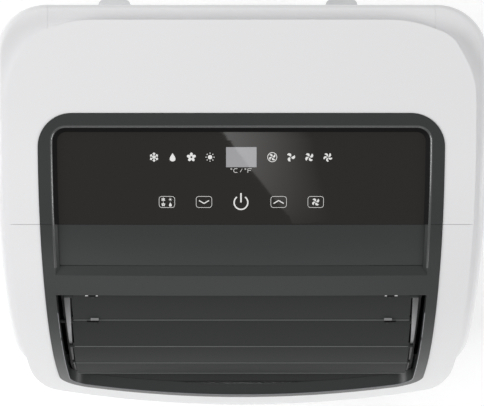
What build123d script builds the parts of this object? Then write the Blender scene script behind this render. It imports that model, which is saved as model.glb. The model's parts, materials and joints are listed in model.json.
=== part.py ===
from build123d import *
import os
from math import cos, radians, sin

os.makedirs("parts", exist_ok=True)

# Portable air conditioner. Millimetres, +Z up, +Y towards the back, origin on the floor
# under the middle of the machine's outer box.

# Overall shape
height = 715                      # floor to the flat of the top cover
skin_axis_y = 989                 # vertical axis that the front's shallow plan curve turns about
flat_front = 54.6                 # the flat of the top ends this far behind the origin
arc_radii = (217, 288, 470)       # side profile: three tangent arcs from the top to the front
arc_slopes = (0, 33.5, 65, 90)    # slope at the ends of those arcs, degrees
front_recede = 5.3                # the front leans back this much down to its foot
foot_z = 50                       # lower edge of all the white covers
skin_sweep = 36                   # plan angle that the skin's solid covers, degrees
crown_step = 3                    # degrees between the points of the bezels' one-piece profile
crown_lead = 50                   # and its level part behind the first of them
wall = 2.8                        # thickness of the moulded covers
seam = 0.25                       # gap between top cover and front panel
rear_seam = 0.1                   # gap between side shells and rear panel
gap = 0.4                         # gap round a piece let into a cover
parting_y = -18.9                 # top cover behind it, front panel before it

# The raised white band (top cover and front panel)
band_half = 204.5
band_back = 159.5
band_back_corner = ((band_half, 110, 70), (184, 146, 28), (148, band_back, 110))   # x, y, radius
front_corner_radius = 45
front_corner_x = 159.5
front_corner_y = -160

# The lower body (side shells and rear panel)
body_half = 216.8
body_front = -173
body_back = 174.5
body_corner = 45
body_step = 12                    # the band stands this far above the lower body
body_edge = 7                     # round of the lower body's top edge
rear_half = 170                   # half width of the rear panel

# Bezels and controls
bezel_half = 177
bezel_back = 78
bezel_foot = 499
bezel_back_corner = 29            # outer corner; the tray's corners inside it are tighter
corner_shrink = 1.35              # and lose this much radius per millimetre of inset
bezel_foot_corner = 27
bezel_proud = 0.8
bezel_depth = 10
rail = 9.8                        # bezel width beside and under the air outlet
recess_inset = 14.8
recess_depth = 4.5
ring_bevel = 4
recess_front = -56                # foot of the recess's front wall
ramp_drop = 5.8                   # the front wall leans forward as a ramp, this far down
ramp_run = 10.6                   # and this far along the bar
outlet_top = -83.1                # front edge of the bar above the air outlet
bar_back = -67                    # the bar is thin in front of this
bar_depth = 4
glass_thick = 2.6
glass_gap = 1.1
duct_half = 165
duct_wall = 2.4

# Louvre
blade_lines = ((-82.6, 654.6), (-107.4, 625.5), (-133.8, 597.6), (-152, 564.3), (-165.1, 528.4))
blade_halves = (154.2, 155.6, 157.4, 158.6)   # half lengths: the outlet widens towards the front
blade_thick = 2.4
blade_lap = 3.5                   # each blade's upper edge lies this far under the one above
blade_crown = 1.2
pivot_in = 6                      # pivot's distance from the blade's upper edge
pin_radius = 2.5
running_fit = 0.06
cheek_back = -50
cheek_knee = -152                 # the cheeks' inner faces splay out as far as this
cheek_front = -190
cheek_in = 159.6                  # inner face in front of the knee
cheek_in_back = 153.1             # inner face at the back
cheek_out = 161
crank_reach = 13
crank_slope = 16                  # direction of the cranks below the horizontal, degrees
crank_x = 137
motor_drop = 14                   # the motor sits this far under the pivot that it drives
motor_radius = 9
link_thick = 2
link_pin = 1.5

# Base and casters
pan_floor = 38
pan_top = 78
pan_wall = 3
caster_x = 165
caster_y = 132
caster_trail = 12
wheel_radius = 15
wheel_width = 14
axle_radius = 3
stem_radius = 4

# Rear
hook_z = 389
hook_places = (-132, 104)
hook_width = 33
hook_arm = 6
upper_intake = (300, 230, 545)    # width, height and centre height
lower_intake = (300, 110, 145)
door_thick = 6
collar_z = 290
collar_bore = 65
collar_wall = 4
collar_reach = 18
drain_places = ((-40, 400), (120, 66))
spigot_radius = 8
cap_radius = 11.5
gland_place = (150, 250)

# Side handles
handle_y = 30
handle_z = 580
handle_long = 110
handle_high = 42
handle_deep = 34

# Inside
deck_z = 362
scroll_wall = 2
evaporator_axis = (0, 480)        # X and Z of the evaporator blower's axis, which runs along Y
condenser_axis = (0, 245)         # Y and Z of the condenser blower's axis, which runs along X


def save(part, name):
    """Label a finished sub-part and write it."""
    part.label = name
    export_step(part, f"parts/{name}.step")


def skin_arcs(offset):
    """Centre, radius and end slopes of the side profile's arcs, with the skin moved out by offset."""
    centre_r = skin_axis_y - flat_front
    centre_z = height - arc_radii[0]
    arcs = []
    for index, radius in enumerate(arc_radii):
        if index:
            step = arc_radii[index - 1] - radius
            centre_r += step * sin(radians(arc_slopes[index]))
            centre_z += step * cos(radians(arc_slopes[index]))
        arcs.append(((centre_r, centre_z), radius + offset, arc_slopes[index], arc_slopes[index + 1]))
    return arcs


front_reach = skin_arcs(0)[-1][0][0] + arc_radii[-1] - skin_axis_y   # origin to the front's middle


def skin_point(offset, slope):
    """Reach and height of the side profile where it slopes down by slope degrees."""
    for centre, radius, first, last in skin_arcs(offset):
        if slope <= last:
            break
    reach = centre[0] + radius * sin(radians(slope))
    return (reach, centre[1] + radius * cos(radians(slope)))


def skin_solid(offset, single=False):
    """Everything inside the curved top and front, grown by offset.

    With single, the profile is one smooth curve through points of the arcs."""
    turn = radians(skin_sweep / 2)
    start = Plane(
        origin=(0, skin_axis_y, 0),
        x_dir=(-sin(turn), -cos(turn), 0),
        z_dir=(-cos(turn), sin(turn), 0),
    )
    arcs = skin_arcs(offset)
    inner = skin_axis_y - 400
    flat_end = arcs[0][0][0]
    lip = (arcs[-1][0][0] + arcs[-1][1], arcs[-1][0][1])
    foot = lip[0] - front_recede
    if single:
        flat_end -= crown_lead
    with BuildPart() as skin:
        with BuildSketch(start):
            with BuildLine():
                Polyline((inner, 0), (inner, height + offset), (flat_end, height + offset))
                if single:
                    crown = [skin_point(offset, slope) for slope in range(0, 91, crown_step)]
                    level = [(flat_end + crown_lead * part, height + offset) for part in (0, 0.5)]
                    Spline(*level, *crown, tangents=((1, 0), (0, -1)))
                else:
                    for centre, radius, first, last in arcs:
                        CenterArc(centre, radius, 90 - first, first - last)
                Polyline(lip, (foot, foot_z), (foot, 0), (inner, 0))
            make_face()
        revolve(axis=Axis((0, skin_axis_y, 0), (0, 0, 1)), revolution_arc=skin_sweep)
    return skin.part


def band_solid(inset):
    """The raised band's outline, drawn in plan and carried the whole height."""
    beyond = front_corner_y - front_corner_radius - 25
    shoulder = front_corner_y - front_corner_radius
    half = [corner for corner in reversed(band_back_corner)]
    half.append((band_half, shoulder, front_corner_radius))
    half.append((front_corner_x - 1, shoulder, 0))
    half.append((front_corner_x - 1, beyond, 0))
    around = half + [(-x, y, radius) for x, y, radius in reversed(half)]
    with BuildPart() as band:
        with BuildSketch(Plane.XY.offset(foot_z)):
            with BuildLine():
                FilletPolyline(
                    *[(x, y) for x, y, radius in around],
                    radius=[radius for x, y, radius in around],
                    close=True,
                )
            make_face()
            if inset:
                offset(amount=-inset, kind=Kind.INTERSECTION)
        extrude(amount=height)
    return band.part


def lower_body(grow, edge):
    """The lower body as a solid, grown by grow, with its top edge rounded by edge."""
    middle = (body_front + body_back) / 2
    with BuildPart() as body:
        with BuildSketch(Plane.XY.offset(foot_z)):
            with Locations((0, middle)):
                RectangleRounded(
                    2 * (body_half + grow),
                    body_back - body_front + 2 * grow,
                    body_corner + grow,
                )
        extrude(amount=height)
        add(skin_solid(grow - body_step), mode=Mode.INTERSECT)
        if edge:
            walls = body.faces().filter_by(lambda face: abs(face.normal_at().Z) < 0.01)
            rim = [
                line
                for face in walls
                for line in face.edges()
                if line.center().Z > foot_z + 20 and abs((line % 0.5).Z) < 0.99
            ]
            fillet(rim, edge)
    return body.part


def bezel_zone(inset):
    """What lies under the bezels' outline: rounded in plan at the back, in elevation at the foot."""
    half = bezel_half - inset
    back = bezel_back - inset
    foot = bezel_foot + inset
    ahead = front_reach + 40
    above = height + 40
    with BuildPart() as zone:
        with BuildSketch(Plane.XY.offset(foot - 20)) as plan:
            with Locations((0, (back - ahead) / 2)):
                Rectangle(2 * half, back + ahead)
            fillet(plan.vertices().group_by(Axis.Y)[-1], bezel_back_corner - corner_shrink * inset)
        extrude(amount=height)
        with BuildSketch(Plane.XZ.offset(-back - 20)) as elevation:
            with Locations((0, (foot + above) / 2)):
                Rectangle(2 * half, above - foot)
            fillet(elevation.vertices().group_by(Axis.Y)[0], bezel_foot_corner - inset)
        extrude(amount=back + 20 + ahead, mode=Mode.INTERSECT)
    return zone.part


def slab(low, high):
    """A plain box from one corner to the other, for trimming."""
    size = [b - a for a, b in zip(low, high)]
    middle = [(a + b) / 2 for a, b in zip(low, high)]
    return Pos(*middle) * Box(*size, mode=Mode.PRIVATE)


wide = 400
skin_outer = skin_solid(0)
skin_inner = skin_solid(-wall)
band_outer = band_solid(0)
band_inner = band_solid(wall)
body_clear = lower_body(0.3, 0)
bezel_hole = bezel_zone(-gap)
behind_parting = slab((-wide, parting_y + seam / 2, 0), (wide, wide, 2 * height))
before_parting = slab((-wide, -wide, foot_z), (wide, parting_y - seam / 2, 2 * height))

# Top cover: the rear half of the raised band, open underneath, with a skirt round it
with BuildPart() as top_cover:
    add(band_outer)
    add(skin_outer, mode=Mode.INTERSECT)
    add(behind_parting, mode=Mode.INTERSECT)
    add(band_inner.intersect(skin_inner), mode=Mode.SUBTRACT)
    add(body_clear, mode=Mode.SUBTRACT)
    add(bezel_hole, mode=Mode.SUBTRACT)
save(top_cover.part, "top_cover")

# Front panel: the same band carried on down the front to its foot
with BuildPart() as front_panel:
    add(band_outer)
    add(skin_outer, mode=Mode.INTERSECT)
    add(before_parting, mode=Mode.INTERSECT)
    add(band_inner.intersect(skin_inner), mode=Mode.SUBTRACT)
    add(body_clear, mode=Mode.SUBTRACT)
    add(bezel_hole, mode=Mode.SUBTRACT)
save(front_panel.part, "front_panel")

# Louvre geometry: where each blade starts, ends and turns
slats = []
for (top_y, top_z), (low_y, low_z) in zip(blade_lines, blade_lines[1:]):
    run = Vector(0, low_y - top_y, low_z - top_z)
    along = run.normalized()
    out = Vector(0, along.Z, -along.Y)
    upper = Vector(0, top_y, top_z) - out * blade_lap
    lower = Vector(0, low_y, low_z)
    along = (lower - upper).normalized()
    out = Vector(0, along.Z, -along.Y)
    pivot = upper + along * pivot_in - out * (blade_thick / 2)
    slats.append((upper, lower, out, pivot))
crank = Vector(0, sin(radians(90 - crank_slope)), -sin(radians(crank_slope))) * crank_reach
motor_pivot = slats[1][3]
motor_middle = motor_pivot - slats[1][2] * motor_drop

# Side shells and rear panel: the lower body, standing outside and below the band
body_outer = lower_body(0, body_edge)
body_inner = lower_body(-wall, 0)
for side, name in ((-1, "left_side_shell"), (1, "right_side_shell")):
    edge_x = side * (rear_half + rear_seam / 2)
    near = min(edge_x, side * wide)
    far = max(edge_x, side * wide)
    with BuildPart() as side_shell:
        add(body_outer)
        add(slab((near, -wide, 0), (far, wide, 2 * height)), mode=Mode.INTERSECT)
        add(body_inner, mode=Mode.SUBTRACT)
        with BuildSketch(Plane.YZ.offset(min(side * 160, side * 195))):
            with Locations((motor_middle.Y - 3, motor_middle.Z + 4)):
                Rectangle(36, 44)
        extrude(amount=35, mode=Mode.SUBTRACT)
        with BuildSketch(Plane.YZ.offset(side * body_half - 10)):
            with Locations((handle_y, handle_z)):
                RectangleRounded(handle_long + 2 * gap, handle_high + 2 * gap, 12)
        extrude(amount=20, mode=Mode.SUBTRACT)
    save(side_shell.part, name)

with BuildPart() as rear_panel:
    add(body_outer)
    trim_x = rear_half - rear_seam / 2
    add(slab((-trim_x, 100, 0), (trim_x, wide, 2 * height)), mode=Mode.INTERSECT)
    add(body_inner, mode=Mode.SUBTRACT)
    back_face = Plane(origin=(0, body_back, 0), x_dir=(-1, 0, 0), z_dir=(0, 1, 0))
    with BuildSketch(back_face.offset(-20)):
        for door_width, door_height, door_z in (upper_intake, lower_intake):
            with Locations((0, door_z)):
                RectangleRounded(door_width + 1, door_height + 1, 8)
        with Locations((0, collar_z)):
            Circle(collar_bore + collar_wall + 0.3)
    extrude(amount=40, mode=Mode.SUBTRACT)
    with BuildSketch(back_face.offset(-wall)):
        for x, z in drain_places:
            with Locations((-x, z)):
                Circle(spigot_radius)
    extrude(amount=wall + 9)
    with BuildSketch(back_face.offset(-20)):
        for x, z in drain_places:
            with Locations((-x, z)):
                Circle(spigot_radius - 2)
    extrude(amount=60, mode=Mode.SUBTRACT)
save(rear_panel.part, "rear_panel")

# Control bezel: a tray let into the top cover, with a raised ring and a floor for the glass
ring_outer = skin_solid(bezel_proud, single=True)
ring_under = skin_solid(-bezel_depth)
glass_top = skin_solid(-recess_depth)
glass_under = skin_solid(-recess_depth - glass_thick)
bezel_block = bezel_zone(0)
window = bezel_zone(recess_inset)
bar_under = skin_solid(-bar_depth)


def recess_walls(bezel):
    """Upright walls round the shallow recess of a bezel."""
    half = bezel_half - recess_inset + 0.1
    back = bezel_back - recess_inset + 0.1
    upright = bezel.faces().filter_by(lambda side: abs(side.normal_at().Z) < 0.01)
    return [
        side
        for side in upright
        if abs(side.center().X) < half and recess_front - 0.1 < side.center().Y < back
        and side.center().Z > 660 and abs(side.center().Y - parting_y) > 1
    ]


def upper_edges(bezel, walls):
    """Edges along the top of upright walls: nothing stands above them."""
    rim = []
    for side in walls:
        above = Vector(0, 0, 0.5) - side.normal_at() * 0.5
        for line in side.edges():
            upright = abs((line % 0.5).Z) > 0.9
            if not upright and not bezel.is_inside((line @ 0.5) + above):
                rim.append(line)
    return rim


with BuildPart() as control_bezel:
    add(bezel_block)
    add(ring_outer, mode=Mode.INTERSECT)
    add(behind_parting, mode=Mode.INTERSECT)
    add(ring_under, mode=Mode.SUBTRACT)
    add(window - glass_under, mode=Mode.SUBTRACT)
    tray = control_bezel.part
    chamfer(upper_edges(tray, recess_walls(tray)), ring_bevel)
save(control_bezel.part, "control_bezel")

# Control glass: a curved dark pane in the tray; its keys are touch keys and don't travel
glass_edge = bezel_zone(recess_inset + glass_gap)
with BuildPart() as control_glass:
    add(glass_edge)
    add(glass_top, mode=Mode.INTERSECT)
    add(behind_parting, mode=Mode.INTERSECT)
    add(glass_under, mode=Mode.SUBTRACT)
save(control_glass.part, "control_glass")

# Outlet bezel: carries on from the control bezel's tray as a shallow recess, a bar across,
# and a frame round the air outlet
recess = window & slab((-wide, recess_front, 0), (wide, parting_y + 10, 2 * height))
recess_cut = recess - glass_top

outlet_zone = bezel_zone(rail)
bar_room = slab((-wide, -wide, 0), (wide, bar_back - 1, 2 * height))
with BuildPart() as outlet_bezel:
    add(bezel_block)
    add(ring_outer, mode=Mode.INTERSECT)
    add(before_parting, mode=Mode.INTERSECT)
    add(ring_under, mode=Mode.SUBTRACT)
    add(recess_cut, mode=Mode.SUBTRACT)
    frame = outlet_bezel.part
    front_wall = [side for side in recess_walls(frame) if side.normal_at().Y > 0.9]
    ramp_edges = upper_edges(frame, front_wall)
    chamfer(ramp_edges, ramp_drop, ramp_run, reference=front_wall[0])
    frame = outlet_bezel.part
    side_walls = [side for side in recess_walls(frame) if abs(side.normal_at().Y) < 0.1]
    chamfer(upper_edges(frame, side_walls), ring_bevel)
    add(outlet_zone & slab((-wide, -wide, 0), (wide, outlet_top, 2 * height)), mode=Mode.SUBTRACT)
    bar_space = outlet_zone & slab((-wide, -wide, 0), (wide, bar_back, 2 * height))
    add(bar_space & bar_under, mode=Mode.SUBTRACT)
    with BuildSketch(Plane.YZ.offset(-duct_half - 15)):
        with Locations((motor_pivot.Y, motor_pivot.Z)):
            Circle(2.4)
    extrude(amount=20, mode=Mode.SUBTRACT)
save(outlet_bezel.part, "outlet_bezel")

# Air outlet: duct from the evaporator's scroll up to the louvre, open at both ends
duct_outside = ((-62, 664), (104, 664), (104, 604), (6, 604), (-66, 520), (-176, 508))
duct_inside = (
    (-140, 661.6),
    (101.6, 661.6),
    (101.6, 590),
    (8.4, 590),
    (8.4, 603),
    (-64.5, 522.4),
    (-176, 510.4),
    (-230, 510.4),
    (-230, 640),
)

with BuildPart() as outlet_duct:
    with BuildSketch(Plane.YZ.offset(-duct_half)):
        with BuildLine():
            Polyline(*duct_outside, close=True)
        make_face()
    extrude(amount=2 * duct_half)
    with BuildSketch(Plane.YZ.offset(duct_wall - duct_half)):
        with BuildLine():
            Polyline(*duct_inside, close=True)
        make_face()
    extrude(amount=2 * (duct_half - duct_wall), mode=Mode.SUBTRACT)
    add(ring_under, mode=Mode.INTERSECT)
    with BuildSketch(Plane.YZ.offset(-duct_half - 1)):
        with Locations((motor_pivot.Y, motor_pivot.Z)):
            Circle(2.4)
    extrude(amount=duct_wall + 2, mode=Mode.SUBTRACT)
save(outlet_duct.part, "outlet_duct")

# Cheeks: the plates at both ends of the louvre that carry the blades' pins
cheek_top = skin_solid(-6)
cheek_profile = ((-70, 676), (-180, 676), (-180, 545), (-163, 531), (-128, 531), (-66, 604))
with BuildPart() as cheek_range:
    with BuildSketch(Plane.YZ.offset(-cheek_out)):
        with BuildLine():
            Polyline(*cheek_profile, close=True)
        make_face()
    extrude(amount=2 * cheek_out)

with BuildPart() as louvre_cheeks:
    with BuildSketch(Plane.XY.offset(foot_z)):
        for side in (-1, 1):
            with BuildLine():
                Polyline(
                    (side * cheek_out, cheek_back),
                    (side * cheek_in_back, cheek_back),
                    (side * cheek_in, cheek_knee),
                    (side * cheek_in, cheek_front),
                    (side * cheek_out, cheek_front),
                    close=True,
                )
            make_face()
    extrude(amount=height)
    add(cheek_range.part, mode=Mode.INTERSECT)
    add(cheek_top, mode=Mode.INTERSECT)
    add(bar_room, mode=Mode.INTERSECT)
    with BuildSketch(Plane.YZ.offset(-cheek_out - 1)):
        for upper, lower, out, pivot in slats:
            with Locations((pivot.Y, pivot.Z)):
                Circle(pin_radius + running_fit)
    extrude(amount=2 * cheek_out + 2, mode=Mode.SUBTRACT)
save(louvre_cheeks.part, "louvre_cheeks")

# Blades: crowned slats with an end pin and a crank at each end
for number, ((upper, lower, out, pivot), blade_half) in enumerate(zip(slats, blade_halves), 1):
    inner_upper = upper - out * blade_thick
    inner_lower = lower - out * blade_thick
    crown = (upper + lower) * 0.5 + out * blade_crown
    inner_crown = crown - out * blade_thick
    hinge_pin = pivot + crank
    with BuildPart() as louvre_blade:
        with BuildSketch(Plane.YZ.offset(-blade_half)):
            with BuildLine():
                ThreePointArc((upper.Y, upper.Z), (crown.Y, crown.Z), (lower.Y, lower.Z))
                Line((lower.Y, lower.Z), (inner_lower.Y, inner_lower.Z))
                ThreePointArc(
                    (inner_lower.Y, inner_lower.Z),
                    (inner_crown.Y, inner_crown.Z),
                    (inner_upper.Y, inner_upper.Z),
                )
                Line((inner_upper.Y, inner_upper.Z), (upper.Y, upper.Z))
            make_face()
        extrude(amount=2 * blade_half)
        for side in (-1, 1):
            with BuildSketch(Plane.YZ.offset(side * (blade_half - 1))):
                with Locations((pivot.Y, pivot.Z)):
                    Circle(pin_radius)
            extrude(amount=side * (cheek_out - 0.4 - blade_half + 1))
            crank_plane = Plane(
                origin=(side * (crank_x - 1.4), pivot.Y, pivot.Z),
                x_dir=crank.normalized(),
                z_dir=(side, 0, 0),
            )
            with BuildSketch(crank_plane.offset(-2.2)):
                with Locations((crank_reach / 2, 0)):
                    SlotCenterToCenter(crank_reach, 6)
            extrude(amount=2.2)
            with BuildSketch(Plane.YZ.offset(side * (crank_x - 2))):
                with Locations((hinge_pin.Y, hinge_pin.Z)):
                    Circle(link_pin)
            extrude(amount=side * (link_thick + 3))
    save(louvre_blade.part, f"louvre_blade_{number}")

# Link bars: tie the four cranks at each end so the blades turn together
for side, name in ((-1, "louvre_link_left"), (1, "louvre_link_right")):
    pins = [pivot + crank for upper, lower, out, pivot in slats]
    with BuildPart() as louvre_link:
        for first, second in zip(pins, pins[1:]):
            step = second - first
            link_plane = Plane(
                origin=(side * (crank_x - 1), first.Y, first.Z),
                x_dir=step.normalized(),
                z_dir=(side, 0, 0),
            )
            with BuildSketch(link_plane):
                with Locations((step.length / 2, 0)):
                    SlotCenterToCenter(step.length, 6)
            extrude(amount=link_thick)
        for number, pin in enumerate(pins):
            clearance = running_fit if number == 0 else 0.2
            with BuildSketch(Plane.YZ.offset(side * (crank_x - 3))):
                with Locations((pin.Y, pin.Z)):
                    Circle(link_pin + clearance)
            extrude(amount=side * 10, mode=Mode.SUBTRACT)
    save(louvre_link.part, name)

# Louvre motor: a geared motor under the band's edge, its shaft in line with the second blade's pin
motor_plane = Plane(
    origin=(-180, motor_middle.Y, motor_middle.Z),
    x_dir=(motor_pivot - motor_middle).normalized(),
    z_dir=(-1, 0, 0),
)
with BuildPart() as louvre_motor:
    with BuildSketch(motor_plane):
        Circle(motor_radius)
    extrude(amount=10)
    with BuildSketch(motor_plane.offset(-2.5)):
        with Locations((motor_drop / 2, 0)):
            SlotCenterToCenter(motor_drop, 6)
        Circle(motor_radius)
    extrude(amount=2.5)
    with BuildSketch(Plane.YZ.offset(-178)):
        with Locations((motor_pivot.Y, motor_pivot.Z)):
            Circle(1.8)
    extrude(amount=178 - cheek_out - 0.1)
save(louvre_motor.part, "louvre_motor")

# Outlet guard: upright bars across the duct behind the blades
guard_plane = Plane(origin=(0, -78, 572), x_dir=(1, 0, 0), z_dir=(0, -0.8, 0.6))
guard_half = duct_half - duct_wall - 0.5
with BuildPart() as outlet_guard:
    with BuildSketch(guard_plane):
        Rectangle(2 * guard_half, 92)
        with GridLocations(22, 1, 14, 1):
            SlotOverall(82, 18, rotation=90, mode=Mode.SUBTRACT)
    extrude(amount=2)
save(outlet_guard.part, "outlet_guard")


def tray_piece(width, depth, thick, x, y, z):
    """A flat board or box, standing on z."""
    with BuildPart() as piece:
        with BuildSketch(Plane.XY.offset(z)):
            with Locations((x, y)):
                RectangleRounded(width, depth, 2)
        extrude(amount=thick)
    return piece.part


# Electronics: display under the glass, control board, and the power box
with BuildPart() as display_module:
    with BuildSketch(Plane.XY.offset(690)):
        with Locations((0, 40)):
            Rectangle(30, 21)
    extrude(amount=5)
save(display_module.part, "display_module")

with BuildPart() as control_board:
    add(tray_piece(190, 52, 1.6, 0, 34, 688.4))
    with BuildSketch(Plane.XY.offset(684)):
        for x in (-75, -40, 0, 40, 75):
            with Locations((x, 22), (x, 44)):
                Rectangle(16, 10)
    extrude(amount=4.4)
save(control_board.part, "control_board")

with BuildPart() as control_box:
    with BuildSketch(Plane.XY.offset(150)):
        with Locations((145, -110)):
            RectangleRounded(86, 76, 5)
    extrude(amount=180)
    offset(amount=-2, openings=control_box.faces().sort_by(Axis.Z)[-1])
save(control_box.part, "control_box")


# Coils: finned blocks with round tubes through the fins
def coil(width, depth, tall, y, z, fins, rows):
    """A finned coil whose middle stands at y and z."""
    with BuildPart() as block:
        with BuildSketch(Plane.YZ.offset(-width / 2)):
            with Locations((y, z)):
                Rectangle(depth, tall)
        extrude(amount=1.2)
        fin = block.part
        for step in range(1, fins):
            add(Pos(step * (width - 1.2) / (fins - 1), 0, 0) * fin)
        with BuildSketch(Plane.YZ.offset(-width / 2)):
            with Locations((y, z)):
                with GridLocations(depth / 2, tall / rows, 2, rows):
                    Circle(4)
        extrude(amount=width)
    return block.part


evaporator_coil = coil(280, 34, 226, 122, 545, 26, 7)
save(evaporator_coil, "evaporator_coil")
condenser_coil = coil(280, 24, 118, 138, 144, 26, 4)
save(condenser_coil, "condenser_coil")


def blower_wheel(plane, radius, width, shaft):
    """A drum of blades on a back plate, with its hub and shaft, standing on plane."""
    with BuildPart() as wheel:
        with BuildSketch(plane):
            Circle(radius)
        extrude(amount=2)
        with BuildSketch(plane.offset(2)):
            with PolarLocations(radius - 8, 24):
                Rectangle(12, 1.4, rotation=35)
        extrude(amount=width - 5)
        with BuildSketch(plane.offset(width - 3)):
            Circle(radius)
            Circle(radius - 14, mode=Mode.SUBTRACT)
        extrude(amount=3)
        with BuildSketch(plane.offset(-shaft)):
            Circle(4)
        extrude(amount=shaft + 2)
        with BuildSketch(plane):
            Circle(14)
        extrude(amount=width / 3)
    return wheel.part


# Evaporator blower: its axis runs front to back, its scroll blows up into the duct
ex, ez = evaporator_axis
scroll_front = 12
scroll_deep = 88
with BuildPart() as evaporator_scroll:
    with BuildSketch(Plane.XZ.offset(-scroll_front - scroll_deep)):
        with Locations((ex, ez)):
            Circle(108)
        with Locations((ex + 54, ez + 62)):
            Rectangle(108, 124)
    extrude(amount=scroll_deep)
    with BuildSketch(Plane.XZ.offset(-scroll_front - scroll_deep + scroll_wall)):
        with Locations((ex, ez)):
            Circle(108 - scroll_wall)
        with Locations((ex + 54, ez + 66)):
            Rectangle(108 - 2 * scroll_wall, 136)
    extrude(amount=scroll_deep - 2 * scroll_wall, mode=Mode.SUBTRACT)
    with BuildSketch(Plane.XZ.offset(-scroll_front - scroll_deep)):
        with Locations((ex, ez)):
            Circle(68)
    extrude(amount=scroll_wall + 1, mode=Mode.SUBTRACT)
    with BuildSketch(Plane.XZ.offset(-scroll_front - scroll_wall - 1)):
        with Locations((ex, ez)):
            Circle(18)
    extrude(amount=scroll_wall + 2, mode=Mode.SUBTRACT)
save(evaporator_scroll.part, "evaporator_scroll")

wheel_plane = Plane(origin=(ex, scroll_front + 10, ez), x_dir=(1, 0, 0), z_dir=(0, 1, 0))
save(blower_wheel(wheel_plane, 84, 66, 30), "evaporator_blower")

with BuildPart() as evaporator_motor:
    with BuildSketch(Plane.XZ.offset(-scroll_front)):
        with Locations((ex, ez)):
            Circle(38)
            Circle(4 + running_fit, mode=Mode.SUBTRACT)
    extrude(amount=50)
    fillet(evaporator_motor.edges().filter_by(GeomType.CIRCLE).sort_by(SortBy.RADIUS)[-1], 6)
save(evaporator_motor.part, "evaporator_motor")

# Condenser blower: its axis runs across, its scroll blows back into the exhaust collar
cy, cz = condenser_axis
scroll_half = 69
channel_high = 138                # height of the channel to the collar
with BuildPart() as condenser_scroll:
    with BuildSketch(Plane.YZ.offset(-scroll_half)):
        with Locations((cy, cz)):
            Circle(110)
        with Locations((cy + 80, collar_z)):
            Rectangle(160, channel_high)
    extrude(amount=2 * scroll_half)
    with BuildSketch(Plane.YZ.offset(scroll_wall - scroll_half)):
        with Locations((cy, cz)):
            Circle(110 - scroll_wall)
        with Locations((cy + 84, collar_z)):
            Rectangle(168, channel_high - 2 * scroll_wall)
    extrude(amount=2 * (scroll_half - scroll_wall), mode=Mode.SUBTRACT)
    with BuildSketch(Plane.YZ.offset(-scroll_half - 1)):
        with Locations((cy, cz)):
            Circle(68)
    extrude(amount=scroll_wall + 2, mode=Mode.SUBTRACT)
    with BuildSketch(Plane.YZ.offset(scroll_half - scroll_wall - 1)):
        with Locations((cy, cz)):
            Circle(18)
    extrude(amount=scroll_wall + 2, mode=Mode.SUBTRACT)
save(condenser_scroll.part, "condenser_scroll")

wheel_plane = Plane(origin=(scroll_half - 10, cy, cz), x_dir=(0, 1, 0), z_dir=(-1, 0, 0))
save(blower_wheel(wheel_plane, 88, 106, 32), "condenser_blower")

with BuildPart() as condenser_motor:
    with BuildSketch(Plane.YZ.offset(scroll_half)):
        with Locations((cy, cz)):
            Circle(38)
            Circle(4 + running_fit, mode=Mode.SUBTRACT)
    extrude(amount=54)
save(condenser_motor.part, "condenser_motor")

# Compressor, accumulator and the pipes between the refrigerant parts
with BuildPart() as compressor:
    with BuildSketch(Plane.XY.offset(pan_floor + pan_wall)):
        with Locations((-135, -70)):
            with PolarLocations(52, 3):
                Circle(9)
            Circle(50)
    extrude(amount=10)
    with BuildSketch(Plane.XY.offset(pan_floor + pan_wall + 10)):
        with Locations((-135, -70)):
            Circle(50)
    extrude(amount=205)
    fillet(compressor.edges().group_by(Axis.Z)[-1], 22)
save(compressor.part, "compressor")

with BuildPart() as accumulator:
    with BuildSketch(Plane.XY.offset(pan_floor + pan_wall)):
        with Locations((-160, 12)):
            Circle(20)
    extrude(amount=180)
    fillet(accumulator.edges().group_by(Axis.Z)[-1], 12)
save(accumulator.part, "accumulator")

pipe_routes = (
    ((-125, -70, 256), (-125, -70, 320), (-125, 138, 320), (-125, 138, 203)),
    ((-160, 12, 221), (-160, 12, 340), (-160, 122, 340), (-160, 122, 470), (-140, 122, 470)),
    ((140, 138, 120), (160, 138, 120), (160, 138, 470), (140, 138, 470)),
)
with BuildPart() as refrigerant_pipes:
    for route in pipe_routes:
        ahead = Vector(*route[1]) - Vector(*route[0])
        with BuildLine() as centre_line:
            FilletPolyline(*route, radius=12)
        with BuildSketch(Plane(origin=route[0], z_dir=ahead)):
            Circle(4)
        sweep(path=centre_line.line)
save(refrigerant_pipes.part, "refrigerant_pipes")

# Middle deck: catches the evaporator's condensate and carries the upper half
with BuildPart() as mid_deck:
    with BuildSketch(Plane.XY.offset(deck_z)):
        with Locations((0, 0)):
            RectangleRounded(408, 318, 20)
        with Locations((-160, 122), (160, 138)):
            Circle(7, mode=Mode.SUBTRACT)
    extrude(amount=6)
    with BuildSketch(Plane.XY.offset(deck_z + 6)):
        RectangleRounded(408, 318, 20)
        RectangleRounded(402, 312, 17, mode=Mode.SUBTRACT)
    extrude(amount=12)
save(mid_deck.part, "mid_deck")

# Base pan, closed underneath, with the four caster plates below it
with BuildPart() as base_pan:
    middle = (body_front + body_back) / 2
    inset = wall + 0.5
    with BuildSketch(Plane.XY.offset(pan_floor)):
        with Locations((0, middle)):
            RectangleRounded(2 * (body_half - inset), body_back - body_front - 2 * inset, 41)
    extrude(amount=pan_top - pan_floor)
    with BuildSketch(Plane.XY.offset(pan_floor + pan_wall)):
        with Locations((0, middle)):
            RectangleRounded(
                2 * (body_half - inset - pan_wall),
                body_back - body_front - 2 * (inset + pan_wall),
                38,
            )
    extrude(amount=pan_top, mode=Mode.SUBTRACT)
    with BuildSketch(Plane.XZ.offset(-body_back - 20)):
        with Locations((drain_places[1][0], drain_places[1][1])):
            Circle(spigot_radius - 2)
    extrude(amount=40, mode=Mode.SUBTRACT)
save(base_pan.part, "base_pan")

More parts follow.
